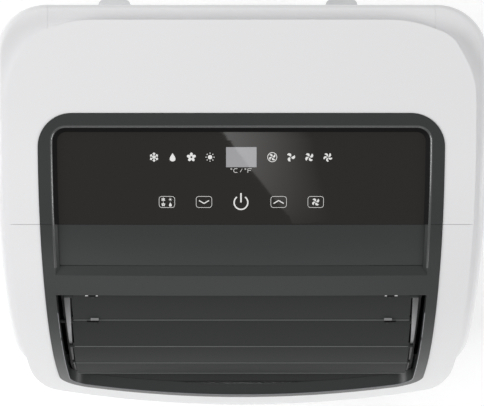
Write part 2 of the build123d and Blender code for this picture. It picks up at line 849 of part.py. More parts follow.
caster_places = [(x, y) for y in (-caster_y, caster_y) for x in (-caster_x, caster_x)]
with BuildPart() as caster_plates:
    with BuildSketch(Plane.XY.offset(pan_floor - 2)):
        for place in caster_places:
            with Locations(place):
                RectangleRounded(46, 46, 6)
                Circle(stem_radius + running_fit, mode=Mode.SUBTRACT)
    extrude(amount=2)
save(caster_plates.part, "caster_plates")

for number, (x, y) in enumerate(caster_places, 1):
    axle_y = y + caster_trail
    with BuildPart() as caster_fork:
        with BuildSketch(Plane.XY.offset(pan_floor - 5.6)):
            with Locations((x, y)):
                Circle(17)
        extrude(amount=3.2)
        with BuildSketch(Plane.XY.offset(pan_floor - 5.6)):
            with Locations((x, y)):
                Circle(stem_radius)
        extrude(amount=5.3)
        for side in (-1, 1):
            with BuildSketch(Plane.YZ.offset(x + side * 9.2)):
                with BuildLine():
                    Polyline(
                        (y - 10, pan_floor - 3),
                        (y + 14, pan_floor - 3),
                        (axle_y + 6, wheel_radius),
                        (axle_y, wheel_radius - 6),
                        (axle_y - 6, wheel_radius),
                        (y - 10, pan_floor - 3),
                    )
                make_face()
                with Locations((axle_y, wheel_radius)):
                    Circle(axle_radius, mode=Mode.SUBTRACT)
            extrude(amount=side * 2)
    save(caster_fork.part, f"caster_fork_{number}")
    with BuildPart() as caster_axle:
        with BuildSketch(Plane.YZ.offset(x - 12.5)):
            with Locations((axle_y, wheel_radius)):
                Circle(axle_radius)
        extrude(amount=25)
    save(caster_axle.part, f"caster_axle_{number}")
    with BuildPart() as caster_wheel:
        with BuildSketch(Plane.YZ.offset(x - wheel_width / 2)):
            with Locations((axle_y, wheel_radius)):
                Circle(wheel_radius)
        extrude(amount=wheel_width)
        fillet(caster_wheel.edges().filter_by(GeomType.CIRCLE), 2.5)
        with BuildSketch(Plane.YZ.offset(x - wheel_width / 2)):
            with Locations((axle_y, wheel_radius)):
                Circle(axle_radius + running_fit)
        extrude(amount=wheel_width, mode=Mode.SUBTRACT)
    save(caster_wheel.part, f"caster_wheel_{number}")


# Rear: intake grilles with their filters behind them
def intake_door(size):
    """A louvred door that fills its hole in the rear panel."""
    door_width, door_height, door_z = size
    with BuildPart() as door:
        with BuildSketch(back_face.offset(1 - door_thick)):
            with Locations((0, door_z)):
                RectangleRounded(door_width, door_height, 7.5)
                slots = int((door_height - 24) / 12)
                with GridLocations(0, 12, 1, slots):
                    SlotOverall(door_width - 30, 6.5, mode=Mode.SUBTRACT)
        extrude(amount=door_thick)
        with BuildSketch(back_face.offset(1 - door_thick)):
            with Locations((0, door_z)):
                with GridLocations(door_width / 4, 0, 3, 1):
                    Rectangle(4, door_height - 20)
        extrude(amount=door_thick - 2)
    return door.part


def dust_filter(size):
    """A framed mesh panel behind an intake door."""
    door_width, door_height, door_z = size
    with BuildPart() as dust:
        with BuildSketch(back_face.offset(-door_thick - 6)):
            with Locations((0, door_z)):
                Rectangle(door_width - 8, door_height - 8)
                with GridLocations(door_width / 5, door_height / 3 - 2, 4, 3):
                    Rectangle(door_width / 5 - 5, door_height / 3 - 7, mode=Mode.SUBTRACT)
        extrude(amount=6.8)
        with BuildSketch(back_face.offset(-door_thick - 3)):
            with Locations((0, door_z)):
                Rectangle(door_width - 10, door_height - 10)
        extrude(amount=0.8)
    return dust.part


save(intake_door(upper_intake), "upper_intake_grille")
save(dust_filter(upper_intake), "upper_dust_filter")
save(intake_door(lower_intake), "lower_intake_grille")
save(dust_filter(lower_intake), "lower_dust_filter")

with BuildPart() as exhaust_collar:
    with BuildSketch(back_face.offset(-12)):
        with Locations((0, collar_z)):
            Circle(collar_bore + collar_wall)
            Circle(collar_bore, mode=Mode.SUBTRACT)
    extrude(amount=12 + collar_reach)
    with BuildSketch(back_face):
        with Locations((0, collar_z)):
            Circle(collar_bore + collar_wall + 5)
            Circle(collar_bore, mode=Mode.SUBTRACT)
    extrude(amount=3)
save(exhaust_collar.part, "exhaust_collar")

for name, (x, z) in zip(("upper_drain_cap", "lower_drain_cap"), drain_places):
    with BuildPart() as drain_cap:
        with BuildSketch(back_face.offset(0.5)):
            with Locations((-x, z)):
                Circle(cap_radius)
        extrude(amount=11)
        with BuildSketch(back_face.offset(0.5)):
            with Locations((-x, z)):
                Circle(spigot_radius + running_fit)
        extrude(amount=8.7, mode=Mode.SUBTRACT)
        with BuildSketch(back_face.offset(0.5)):
            with Locations((-x, z)):
                Circle(spigot_radius - 2 - running_fit)
        extrude(amount=9)
        with BuildSketch(back_face.offset(0.5)):
            with Locations((-x, z)):
                with PolarLocations(cap_radius + 0.3, 16):
                    Circle(1)
        extrude(amount=11, mode=Mode.SUBTRACT)
    save(drain_cap.part, name)

hook_names = ("cord_hook_left", "cord_hook_right")
for name, x in zip(hook_names, hook_places):
    with BuildPart() as cord_hook:
        with BuildSketch(Plane.YZ.offset(x - hook_width / 2)):
            with BuildLine():
                Polyline(
                    (body_back, hook_z - hook_arm / 2),
                    (front_reach - 6, hook_z - hook_arm / 2),
                    (front_reach - 6, hook_z - 16),
                    (front_reach, hook_z - 16),
                    (front_reach, hook_z + 16),
                    (front_reach - 6, hook_z + 16),
                    (front_reach - 6, hook_z + hook_arm / 2),
                    (body_back, hook_z + hook_arm / 2),
                    close=True,
                )
            make_face()
        extrude(amount=hook_width)
        fillet(cord_hook.edges().filter_by(Axis.Z).group_by(Axis.Y)[-1], 5.5)
    save(cord_hook.part, name)

with BuildPart() as cord_gland:
    with BuildSketch(back_face):
        with Locations((-gland_place[0], gland_place[1])):
            Circle(9)
            Circle(4, mode=Mode.SUBTRACT)
    extrude(amount=9)
save(cord_gland.part, "cord_gland")

# Side handles: cups let into the side shells, open outwards
for side, name in ((-1, "left_handle"), (1, "right_handle")):
    with BuildPart() as handle:
        with BuildSketch(Plane.YZ.offset(side * body_half)):
            with Locations((handle_y, handle_z)):
                RectangleRounded(handle_long, handle_high, 12)
        extrude(amount=-side * handle_deep)
        with BuildSketch(Plane.YZ.offset(side * body_half)):
            with Locations((handle_y, handle_z)):
                RectangleRounded(handle_long - 5, handle_high - 5, 9.5)
        extrude(amount=-side * (handle_deep - 2.5), mode=Mode.SUBTRACT)
    save(handle.part, name)

# Screws that hold the rear panel to the side shells
screw_places = [(x, z) for x in (-161, 161) for z in (80, 230, 360, 520, 670)]
with BuildPart() as rear_screws:
    with BuildSketch(back_face):
        for x, z in screw_places:
            with Locations((x, z)):
                Circle(4)
                RegularPolygon(1.4, 6, mode=Mode.SUBTRACT)
    extrude(amount=2)
save(rear_screws.part, "rear_screws")
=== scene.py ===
"""Looks of the portable air conditioner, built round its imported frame. Metres, +Z up, front at -Y."""

import json
from math import asin, cos, hypot, pi, radians, sin

import bmesh
import bpy
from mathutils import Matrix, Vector


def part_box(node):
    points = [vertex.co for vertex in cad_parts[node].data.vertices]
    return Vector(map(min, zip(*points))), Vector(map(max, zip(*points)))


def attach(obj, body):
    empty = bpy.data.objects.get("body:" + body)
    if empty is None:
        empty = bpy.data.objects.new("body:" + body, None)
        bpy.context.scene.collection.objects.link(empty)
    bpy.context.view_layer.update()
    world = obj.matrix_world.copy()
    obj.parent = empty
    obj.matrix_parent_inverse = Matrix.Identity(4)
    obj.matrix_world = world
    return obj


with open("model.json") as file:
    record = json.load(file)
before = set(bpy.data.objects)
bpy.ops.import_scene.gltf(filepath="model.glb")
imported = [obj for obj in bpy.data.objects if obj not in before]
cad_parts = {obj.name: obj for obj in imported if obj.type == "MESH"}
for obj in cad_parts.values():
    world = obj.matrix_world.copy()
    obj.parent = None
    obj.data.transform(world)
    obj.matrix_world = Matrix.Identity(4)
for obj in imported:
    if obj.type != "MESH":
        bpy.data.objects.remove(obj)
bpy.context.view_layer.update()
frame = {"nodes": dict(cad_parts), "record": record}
nodes = frame["nodes"]


# ---------------------------------------------------------------- shape of the skin
# The same side profile as the covers: three tangent arcs, turned about a far vertical axis.
HEIGHT = 0.715
AXIS_Y = 0.989
FLAT_FRONT = 0.0546
ARC_RADII = (0.217, 0.288, 0.470)
ARC_SLOPES = (0, radians(33.5), radians(65), radians(90))
GLASS_DEPTH = 0.0045                      # the glass lies this far under the skin
FRONT_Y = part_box("front_panel")[0][1]


def skin_height(x, y, offset=0.0):
    """Height of the skin, moved out by offset, over a point in plan."""
    reach = hypot(x, AXIS_Y - y)
    centre_r = AXIS_Y - FLAT_FRONT
    centre_z = HEIGHT - ARC_RADII[0]
    if reach <= centre_r:
        return HEIGHT + offset
    for index, radius in enumerate(ARC_RADII):
        if index:
            step = ARC_RADII[index - 1] - radius
            centre_r += step * sin(ARC_SLOPES[index])
            centre_z += step * cos(ARC_SLOPES[index])
        grown = radius + offset
        if (reach - centre_r) <= grown * sin(ARC_SLOPES[index + 1]):
            slope = asin(min(1.0, (reach - centre_r) / grown))
            return centre_z + grown * cos(slope)
    return centre_z


def skin_front(x, z, offset=0.0):
    """Front of the skin, moved out by offset, at a height beside the middle."""
    low, high = -0.26, FLAT_FRONT
    for halving in range(30):
        middle = (low + high) / 2
        if skin_height(x, middle, offset) < z:
            low = middle
        else:
            high = middle
    return high


# ---------------------------------------------------------------- materials
def new_material(name):
    """An empty node material with its Principled shader."""
    made = bpy.data.materials.new(name)
    made.use_nodes = True
    shader = made.node_tree.nodes["Principled BSDF"]
    return made, made.node_tree.nodes, made.node_tree.links, shader


def moulded(name, color, roughness, grain=900.0, bump=0.05, cloud=0.03, vary=0.05, specular=0.5):
    """Moulded plastic, paint or glass: slow colour drift, fine surface grain, uneven gloss."""
    made, tree, links, shader = new_material(name)
    place = tree.new("ShaderNodeTexCoord")
    drift = tree.new("ShaderNodeTexNoise")
    drift.inputs["Scale"].default_value = 6.0
    drift.inputs["Detail"].default_value = 3.0
    tint = tree.new("ShaderNodeMapRange")
    tint.inputs["To Min"].default_value = 1.0 - cloud
    tint.inputs["To Max"].default_value = 1.0 + cloud
    shade = tree.new("ShaderNodeVectorMath")
    shade.operation = "SCALE"
    shade.inputs[0].default_value = color
    fine = tree.new("ShaderNodeTexNoise")
    fine.inputs["Scale"].default_value = grain
    fine.inputs["Detail"].default_value = 2.0
    gloss = tree.new("ShaderNodeMapRange")
    gloss.inputs["To Min"].default_value = roughness - vary
    gloss.inputs["To Max"].default_value = roughness + vary
    relief = tree.new("ShaderNodeBump")
    relief.inputs["Strength"].default_value = bump
    relief.inputs["Distance"].default_value = 0.0004
    links.new(place.outputs["Object"], drift.inputs["Vector"])
    links.new(place.outputs["Object"], fine.inputs["Vector"])
    links.new(drift.outputs["Fac"], tint.inputs["Value"])
    links.new(tint.outputs["Result"], shade.inputs["Scale"])
    links.new(shade.outputs["Vector"], shader.inputs["Base Color"])
    links.new(drift.outputs["Fac"], gloss.inputs["Value"])
    links.new(gloss.outputs["Result"], shader.inputs["Roughness"])
    links.new(fine.outputs["Fac"], relief.inputs["Height"])
    links.new(relief.outputs["Normal"], shader.inputs["Normal"])
    shader.inputs["Specular IOR Level"].default_value = specular
    return made


def brushed(name, color, roughness, stretch=(1, 1, 60)):
    """Bare metal with fine drawn lines along one direction."""
    made, tree, links, shader = new_material(name)
    place = tree.new("ShaderNodeTexCoord")
    turn = tree.new("ShaderNodeMapping")
    turn.inputs["Scale"].default_value = stretch
    lines = tree.new("ShaderNodeTexNoise")
    lines.inputs["Scale"].default_value = 80.0
    lines.inputs["Detail"].default_value = 4.0
    ramp = tree.new("ShaderNodeValToRGB")
    ramp.color_ramp.elements[0].color = [0.8 * part for part in color] + [1]
    ramp.color_ramp.elements[1].color = list(color) + [1]
    gloss = tree.new("ShaderNodeMapRange")
    gloss.inputs["To Min"].default_value = roughness - 0.08
    gloss.inputs["To Max"].default_value = roughness + 0.1
    links.new(place.outputs["Object"], turn.inputs["Vector"])
    links.new(turn.outputs["Vector"], lines.inputs["Vector"])
    links.new(lines.outputs["Fac"], ramp.inputs["Fac"])
    links.new(ramp.outputs["Color"], shader.inputs["Base Color"])
    links.new(lines.outputs["Fac"], gloss.inputs["Value"])
    links.new(gloss.outputs["Result"], shader.inputs["Roughness"])
    shader.inputs["Metallic"].default_value = 1.0
    return made


def printed(name, color, glow):
    """A pale, slightly uneven print with a faint glow of its own."""
    made, tree, links, shader = new_material(name)
    place = tree.new("ShaderNodeTexCoord")
    speck = tree.new("ShaderNodeTexNoise")
    speck.inputs["Scale"].default_value = 400.0
    ramp = tree.new("ShaderNodeValToRGB")
    ramp.color_ramp.elements[0].color = [0.92 * part for part in color] + [1]
    ramp.color_ramp.elements[1].color = list(color) + [1]
    links.new(place.outputs["Object"], speck.inputs["Vector"])
    links.new(speck.outputs["Fac"], ramp.inputs["Fac"])
    links.new(ramp.outputs["Color"], shader.inputs["Base Color"])
    links.new(ramp.outputs["Color"], shader.inputs["Emission Color"])
    shader.inputs["Emission Strength"].default_value = glow
    shader.inputs["Roughness"].default_value = 0.4
    return made


def sheen_banded(name, color, sheen_color, levels, roughness):
    """Plastic with a painted sheen: a paler band between the middle two of four heights, listed from the top
    down.
    """
    made = moulded(name, color, roughness, grain=1200, bump=0.08)
    tree, links = made.node_tree.nodes, made.node_tree.links
    shader = tree["Principled BSDF"]
    place = tree.new("ShaderNodeTexCoord")
    split = tree.new("ShaderNodeSeparateXYZ")
    level = tree.new("ShaderNodeMapRange")
    level.inputs["From Min"].default_value = levels[0]
    level.inputs["From Max"].default_value = levels[3]
    ramp = tree.new("ShaderNodeValToRGB")
    stops = ramp.color_ramp.elements
    stops[0].color = (*color, 1)
    stops[1].color = (*color, 1)
    for height in levels[1:3]:
        stop = stops.new((levels[0] - height) / (levels[0] - levels[3]))
        stop.color = (*sheen_color, 1)
    links.new(place.outputs["Object"], split.inputs["Vector"])
    links.new(split.outputs["Z"], level.inputs["Value"])
    links.new(level.outputs["Result"], ramp.inputs["Fac"])
    links.new(ramp.outputs["Color"], shader.inputs["Base Color"])
    return made


MOULDED = {
    "white_casing": dict(color=(0.80, 0.80, 0.81), roughness=0.36, bump=0.03, cloud=0.006),
    "light_grey_plastic": dict(color=(0.70, 0.71, 0.72), roughness=0.46, bump=0.1, cloud=0.01),
    "dark_bezel": dict(
        color=(0.029, 0.031, 0.031), roughness=0.38, grain=1400, bump=0.08, cloud=0.04, specular=0.45
    ),
    "black_glass": dict(
        color=(0.0150, 0.0130, 0.0112), roughness=0.025, bump=0.0, cloud=0.04, vary=0.01
    ),
    "louvre_plastic": dict(
        color=(0.027, 0.029, 0.028), roughness=0.62, grain=1400, bump=0.1, cloud=0.04, specular=0.2
    ),
    "dark_inner_plastic": dict(color=(0.014, 0.015, 0.015), roughness=0.55, bump=0.15, cloud=0.06),
    "grey_inner_plastic": dict(color=(0.28, 0.29, 0.30), roughness=0.55, bump=0.15, cloud=0.04),
    "blower_plastic": dict(color=(0.09, 0.09, 0.095), roughness=0.5, bump=0.12, cloud=0.05),
    "compressor_paint": dict(color=(0.02, 0.02, 0.022), roughness=0.25, bump=0.2, cloud=0.1),
    "circuit_board": dict(color=(0.03, 0.16, 0.07), roughness=0.4, bump=0.3, cloud=0.15),
    "display": dict(color=(0.33, 0.34, 0.34), roughness=0.3, bump=0.02, cloud=0.03),
    "filter_mesh": dict(color=(0.06, 0.06, 0.065), roughness=0.7, grain=300, bump=0.5, cloud=0.1),
    "black_rubber": dict(color=(0.018, 0.018, 0.018), roughness=0.6, bump=0.25, cloud=0.1),
    "caster_plastic": dict(color=(0.025, 0.025, 0.027), roughness=0.45, bump=0.2, cloud=0.08),
    "caster_wheel": dict(color=(0.035, 0.035, 0.037), roughness=0.6, bump=0.4, cloud=0.15),
}
BRUSHED = {
    "motor_steel": dict(color=(0.5, 0.5, 0.51), roughness=0.35),
    "copper": dict(color=(0.72, 0.36, 0.22), roughness=0.3),
    "coil_aluminium": dict(color=(0.72, 0.73, 0.74), roughness=0.34, stretch=(40, 1, 1)),
    "zinc_steel": dict(color=(0.6, 0.61, 0.62), roughness=0.36),
    "screw_steel": dict(color=(0.55, 0.55, 0.56), roughness=0.3),
}
MATERIALS = {name: moulded(name, **finish) for name, finish in MOULDED.items()}
MATERIALS.update({name: brushed(name, **finish) for name, finish in BRUSHED.items()})
for entry in frame["record"]["subparts"]:
    thing = nodes[entry["node"]]
    thing.data.materials.clear()
    thing.data.materials.append(MATERIALS[entry["material_slot"]])

# The louvre's cheeks have a paler band part way down: a painted reflection, not a colour of the plastic
CHEEK_SHEEN_LEVELS = (0.655, 0.612, 0.598, 0.588)
CHEEK_DARK = (0.035, 0.035, 0.035)
# colour of the painted reflection on the cheeks
CHEEK_PAINTED_SHEEN = (0.42, 0.42, 0.43)
cheek_painted_sheen = sheen_banded("cheek_painted_sheen", CHEEK_DARK, CHEEK_PAINTED_SHEEN, CHEEK_SHEEN_LEVELS, 0.4)
nodes["louvre_cheeks"].data.materials[0] = cheek_painted_sheen


# ---------------------------------------------------------------- moulded edges on the CAD pieces
EDGE_ROUNDS = {
    "top_cover": 0.0012,
    "front_panel": 0.0012,
    "control_bezel": 0.0008,
    "outlet_bezel": 0.0008,
    "control_glass": 0.0004,
    **{f"louvre_blade_{number}": 0.0006 for number in range(1, 5)},
    "upper_intake_grille": 0.0006,
    "lower_intake_grille": 0.0006,
    "exhaust_collar": 0.0008,
    "cord_hook_left": 0.0012,
    "cord_hook_right": 0.0012,
    "left_handle": 0.0008,
    "right_handle": 0.0008,
    "base_pan": 0.001,
}
for name, width in EDGE_ROUNDS.items():
    rounding = nodes[name].modifiers.new("edge", "BEVEL")
    rounding.width = width
    rounding.segments = 3
    rounding.limit_method = "ANGLE"
    rounding.angle_limit = radians(35)
    rounding.use_clamp_overlap = True
    rounding.harden_normals = False


# ---------------------------------------------------------------- making new pieces
def new_mesh(name, spots, patches, smooth=False):
    """A mesh from its points and faces."""
    shape = bpy.data.meshes.new(name)
    shape.from_pydata(spots, [], patches)
    if smooth:
        for patch in shape.polygons:
            patch.use_smooth = True
    return shape


def new_object(name, shape, material):
    """An object in the scene for a mesh, with its material."""
    shape.materials.append(material)
    made = bpy.data.objects.new(name, shape)
    bpy.context.scene.collection.objects.link(made)
    return made


def block(name, middle, size, material, body, round_by=0.0002):
    """A small box with softened edges."""
    build = bmesh.new()
    bmesh.ops.create_cube(build, size=1.0)
    bmesh.ops.scale(build, vec=size, verts=build.verts)
    shape = bpy.data.meshes.new(name)
    build.to_mesh(shape)
    build.free()
    made = new_object(name, shape, material)
    made.location = middle
    rounding = made.modifiers.new("edge", "BEVEL")
    rounding.width = round_by
    rounding.segments = 2
    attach(made, body)


def rod(name, start, end, radius, material, body, steps=12):
    """A round bar between two points."""
    start, end = Vector(start), Vector(end)
    build = bmesh.new()
    bmesh.ops.create_cone(
        build, cap_ends=True, segments=steps, radius1=radius, radius2=radius, depth=(end - start).length
    )
    shape = bpy.data.meshes.new(name)
    build.to_mesh(shape)
    build.free()
    made = new_object(name, shape, material)
    made.location = (start + end) / 2
    made.rotation_euler = (end - start).to_track_quat("Z", "Y").to_euler()
    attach(made, body)


def tube(name, path, radius, material, body, sides=8):
    """A thin round bead along a path."""
    path = [Vector(spot) for spot in path]
    spots = []
    for index, spot in enumerate(path):
        run = (path[min(index + 1, len(path) - 1)] - path[max(index - 1, 0)]).normalized()
        lift = run.cross(Vector((0, 0.6, 0.8))).normalized()
        rise = run.cross(lift)
        for corner in range(sides):
            turn = 2 * pi * corner / sides
            spots.append(spot + radius * (cos(turn) * lift + sin(turn) * rise))
    patches = []
    for ring in range(len(path) - 1):
        for corner in range(sides):
            here, beside = ring * sides + corner, ring * sides + (corner + 1) % sides
            patches.append([here, beside, beside + sides, here + sides])
    made = new_object(name, new_mesh(name, spots, patches, smooth=True), material)
    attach(made, body)


# ---------------------------------------------------------------- print on the glass
def polar(centre, radius, turn):
    """The point at a radius and an angle from a centre."""
    return centre[0] + radius * cos(turn), centre[1] + radius * sin(turn)


class Print:
    """Flat shapes in millimetres, laid on the curved glass as one mesh."""

    def __init__(self, rise=0.00022):
        self.spots = []
        self.patches = []
        self.rise = rise

    def spot(self, x, y):
        """A point just over the glass; gives its number."""
        x, y = x / 1000, y / 1000
        self.spots.append((x, y, skin_height(x, y, -GLASS_DEPTH) + self.rise))
        return len(self.spots) - 1

    def patch(self, outline):
        """A small filled shape."""
        self.patches.append([self.spot(x, y) for x, y in outline])

    def line(self, path, width, closed=False):
        """A stroke along a path."""
        path = [Vector(point) for point in path]
        count = len(path)
        left, right = [], []
        for index, point in enumerate(path):
            before = path[index - 1] if index or closed else point
            after = path[(index + 1) % count] if index < count - 1 or closed else point
            run = (after - before).normalized()
            side = Vector((-run.y, run.x)) * width / 2
            left.append(self.spot(*(point + side)))
            right.append(self.spot(*(point - side)))
        for index in range(count if closed else count - 1):
            after = (index + 1) % count
            self.patches.append([left[index], right[index], right[after], left[after]])

    def arc(self, centre, radius, width, first=0, last=360, steps=24):
        """A round stroke; a full turn closes on itself."""
        full = last - first == 360
        count = steps if full else steps + 1
        turns = [radians(first + (last - first) * step / steps) for step in range(count)]
        self.line([polar(centre, radius, turn) for turn in turns], width, closed=full)

    def fan(self, centre, radius, blades):
        """A propeller sign: swept petals round a hub."""
        hub, trail, sweep, steps = 0.16, 0.80, 0.55, 6
        spread = min(0.62, 2.1 / blades)
        for blade in range(blades):
            turn = radians(90 + 360 * blade / blades)
            outline = []
            for step in range(steps + 1):
                reach = hub + (1 - hub) * step / steps
                lead = spread * sin(pi * min(1.0, reach)) ** 0.7 * 0.9
                outline.append(polar(centre, radius * reach, turn + sweep * reach - lead))
            for step in range(steps, -1, -1):
                reach = hub + trail * step / steps
                lag = spread * sin(pi * (1 - reach) * 0.5 + pi * reach * 0.28)
                outline.append(polar(centre, radius * reach, turn + sweep * reach + lag))
            self.patch(outline)

    def snowflake(self, centre, radius, width):
        """Six strokes with forked ends."""
        fork_place, fork_length, fork_lean = 0.58, 0.36, 0.85
        for spoke in range(6):
            turn = radians(30 + 60 * spoke)
            self.line([centre, polar(centre, radius, turn)], width)
            fork = polar(centre, fork_place * radius, turn)
            for lean in (-fork_lean, fork_lean):
                self.line([fork, polar(fork, fork_length * radius, turn + lean)], width)

    def flower(self, centre, radius, petals):
        """Oval petals set close round a centre."""
        petal_place, half_length, half_width, steps = 0.60, 0.42, 0.33, 14
        for petal in range(petals):
            turn = radians(90 + 360 * petal / petals)
            middle = polar(centre, petal_place * radius, turn)
            outline = []
            for step in range(steps):
                bend = 2 * pi * step / steps
                along, aside = half_length * cos(bend), half_width * sin(bend)
                outline.append((
                    middle[0] + radius * (along * cos(turn) - aside * sin(turn)),
                    middle[1] + radius * (along * sin(turn) + aside * cos(turn)),
                ))
            self.patch(outline)

    def drop(self, centre, radius, steps=28):
        """A filled water drop: a circle whose width narrows to a point at the top."""
        turns = [2 * pi * step / steps for step in range(steps)]
        self.patch([
            (centre[0] - 0.98 * radius * sin(turn) * sin(turn / 2) ** 1.5, centre[1] + radius * cos(turn))
            for turn in turns
        ])

    def disc(self, centre, radius, steps=16):
        """A filled circle."""
        self.patch([polar(centre, radius, 2 * pi * step / steps) for step in range(steps)])

    def sun(self, centre, radius):
        """A disc with eight dots round it."""
        disc_share, ray_place, dot_share = 0.48, 0.87, 0.12
        self.disc(centre, disc_share * radius)
        for ray in range(8):
            self.disc(polar(centre, ray_place * radius, radians(45 * ray)), dot_share * radius, steps=8)

    def frame(self, centre, width, height, corner, stroke):
        """A rounded rectangle's outline."""
        path = []
        for quarter, (side, end) in enumerate(((1, 1), (-1, 1), (-1, -1), (1, -1))):
            middle = (centre[0] + side * (width / 2 - corner), centre[1] + end * (height / 2 - corner))
            path += [polar(middle, corner, radians(90 * quarter + 18 * step)) for step in range(6)]
        self.line(path, stroke, closed=True)

    def sheet(self, centre, width, height, cells=8):
        """A filled rectangle that follows the glass."""
        rows = []
        for row in range(cells + 1):
            y = centre[1] + height * (row / cells - 0.5)
            columns = [centre[0] + width * (cell / cells - 0.5) for cell in range(cells + 1)]
            rows.append([self.spot(x, y) for x in columns])
        for lower, upper in zip(rows, rows[1:]):
            for cell in range(cells):
                self.patches.append([lower[cell], lower[cell + 1], upper[cell + 1], upper[cell]])

    def finish(self, name, material):
        """Make the mesh, facing up, riding on the casing."""
        shape = new_mesh(name, self.spots, self.patches)
        build = bmesh.new()
        build.from_mesh(shape)
        for face in build.faces:
            if face.normal.z < 0:
                face.normal_flip()
        build.to_mesh(shape)
        build.free()
        made = new_object(name, shape, material)
        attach(made, "casing")


# Rows and columns of the signs, in millimetres from the middle of the machine
STATUS_Y = 40.0
MODE_COLUMNS = (-76.2, -60.0, -43.6, -27.3)
SPEED_COLUMNS = (27.0, 43.1, 59.3, 75.5)
ICON = 4.0
LEGEND = (0.80, 0.80, 0.79)

signs = Print()
signs.snowflake((MODE_COLUMNS[0], STATUS_Y), ICON, 0.85)
signs.drop((MODE_COLUMNS[1], STATUS_Y), 3.7)
signs.flower((MODE_COLUMNS[2], STATUS_Y), ICON, 5)
signs.sun((MODE_COLUMNS[3], STATUS_Y), ICON)
signs.arc((SPEED_COLUMNS[0], STATUS_Y), ICON, 0.6)
signs.fan((SPEED_COLUMNS[0], STATUS_Y), 0.8 * ICON, 4)
for place_x, blades in zip(SPEED_COLUMNS[1:], (3, 4, 5)):
    signs.fan((place_x, STATUS_Y), ICON, blades)
signs.finish("status_signs", printed("status_print", LEGEND, 0.05))

# Keys: mode, down, power, up and fan speed
KEY_Y = 0.9
KEY_COLUMNS = (-65.2, -32.7, 32.7, 65.2)
KEY_WIDTH, KEY_HEIGHT, KEY_CORNER, KEY_STROKE = 13.7, 9.7, 2.3, 0.36
SMALL_LEFT, SMALL_RIGHT, SMALL_RISE = -68.4, -62.2, 2.2     # the four small signs in the mode key
ARROW_HALF, ARROW_RISE = 4.4, 1.3
POWER_X = -0.3

keys = Print()
for place_x in KEY_COLUMNS:
    keys.frame((place_x, KEY_Y), KEY_WIDTH, KEY_HEIGHT, KEY_CORNER, KEY_STROKE)
keys.snowflake((SMALL_LEFT, KEY_Y + SMALL_RISE), 1.7, 0.5)
keys.sun((SMALL_RIGHT, KEY_Y + SMALL_RISE), 1.6)
keys.flower((SMALL_LEFT, KEY_Y - SMALL_RISE), 1.7, 5)
keys.drop((SMALL_RIGHT, KEY_Y - SMALL_RISE), 1.8)
keys.fan((KEY_COLUMNS[3], KEY_Y), 3.6, 4)
for place_x, rise in ((KEY_COLUMNS[1], -ARROW_RISE), (KEY_COLUMNS[2], ARROW_RISE)):
    ends = [(place_x + side * ARROW_HALF, KEY_Y - rise) for side in (-1, 1)]
    keys.line([ends[0], (place_x, KEY_Y + rise), ends[1]], 0.95)
keys.arc((POWER_X, KEY_Y - 0.5), 6.0, 1.2, 126, 414, steps=40)
keys.line([(POWER_X, KEY_Y - 0.4), (POWER_X, KEY_Y + 7.8)], 1.35)
keys.finish("key_signs", printed("key_print", LEGEND, 0.05))

# Temperature units under the display: degree C and degree F
UNIT_Y = 28.4
units = Print()
for ring_x in (-8.7, 3.6):
    units.arc((ring_x, UNIT_Y + 1.3), 0.55, 0.42, steps=12)
letter_c = [(-3.4, 1.6), (-5.6, 1.6), (-6.6, 0.6), (-6.6, -0.8), (-5.6, -1.7), (-3.4, -1.7)]
units.line([(x, UNIT_Y + rise) for x, rise in letter_c], 0.6)
units.line([(-1.0, UNIT_Y - 1.5), (0.8, UNIT_Y + 1.5)], 0.45)
units.line([(5.7, UNIT_Y - 1.9), (5.7, UNIT_Y + 1.6), (9.0, UNIT_Y + 1.6)], 0.6)
units.line([(5.7, UNIT_Y), (8.4, UNIT_Y)], 0.5)
units.finish("unit_signs", printed("unit_print", (0.62, 0.62, 0.61), 0.03))

WINDOW_WIDTH, WINDOW_HEIGHT = 26.6, 17.5
window = Print(rise=0.00015)
window.sheet((0, STATUS_Y), WINDOW_WIDTH, WINDOW_HEIGHT)
window.finish(
    "display_window", moulded("window_grey", (0.36, 0.36, 0.375), 0.025, bump=0.0, cloud=0.05, vary=0.01)
)


# ---------------------------------------------------------------- rim, and gasket with painted shade
BEZEL_HALF = 0.177
BEZEL_BACK = 0.078
TRAY_INSET = 0.0148                       # the tray's wall, in from the bezel's outline
TRAY_CORNER = 0.0090                      # corner radius of that wall
PARTING_Y = -0.0189                       # seam between top cover and front panel
RECESS_FRONT = -0.058                     # the rim's bead ends here
STRAIGHT_STEPS = 12
CORNER_STEPS = 8
BEAD_SECTION = ((0.0105, 0.0009), (0.0110, 0.0009), (0.0117, 0.0006), (0.0125, -0.0004))
# The near-black gasket strip is also painted shade in the gap between the bezel's wall and the glass
GASKET_SHADE_SECTION = ((0.0124, -0.0005), (0.0150, -0.0033), (0.0161, -0.0043))


def rim_path(inset, front):
    """Plan outline of the tray's rim, from the front left round the back to the front right."""
    half = BEZEL_HALF - inset
    back = BEZEL_BACK - inset
    corner = TRAY_CORNER + TRAY_INSET - inset
    side_run = back - corner - front
    path = [(-half, front + side_run * step / STRAIGHT_STEPS) for step in range(STRAIGHT_STEPS)]
    for step in range(CORNER_STEPS + 1):
        turn = pi * step / (2 * CORNER_STEPS)
        path.append((-half + corner - corner * cos(turn), back - corner + corner * sin(turn)))
    path += [((half - corner) * (step / STRAIGHT_STEPS - 1), back) for step in range(1, STRAIGHT_STEPS)]
    path.append((0.0, back))
    return path + [(-x, y) for x, y in reversed(path[:-1])]


def rim_strip(name, section, front, material):
    """A strip along the rim; section lists inset and height over the skin, in metres."""
    rails = [rim_path(inset, front) for inset, rise in section]
    spots = [
        (x, y, skin_height(x, y, rise))
        for (inset, rise), rail in zip(section, rails)
        for x, y in rail
    ]
    count = len(rails[0])
    patches = []
    for row in range(len(section) - 1):
        for here in range(row * count, row * count + count - 1):
            patches.append([here, here + 1, here + count + 1, here + count])
    made = new_object(name, new_mesh(name, spots, patches, smooth=True), material)
    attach(made, "casing")


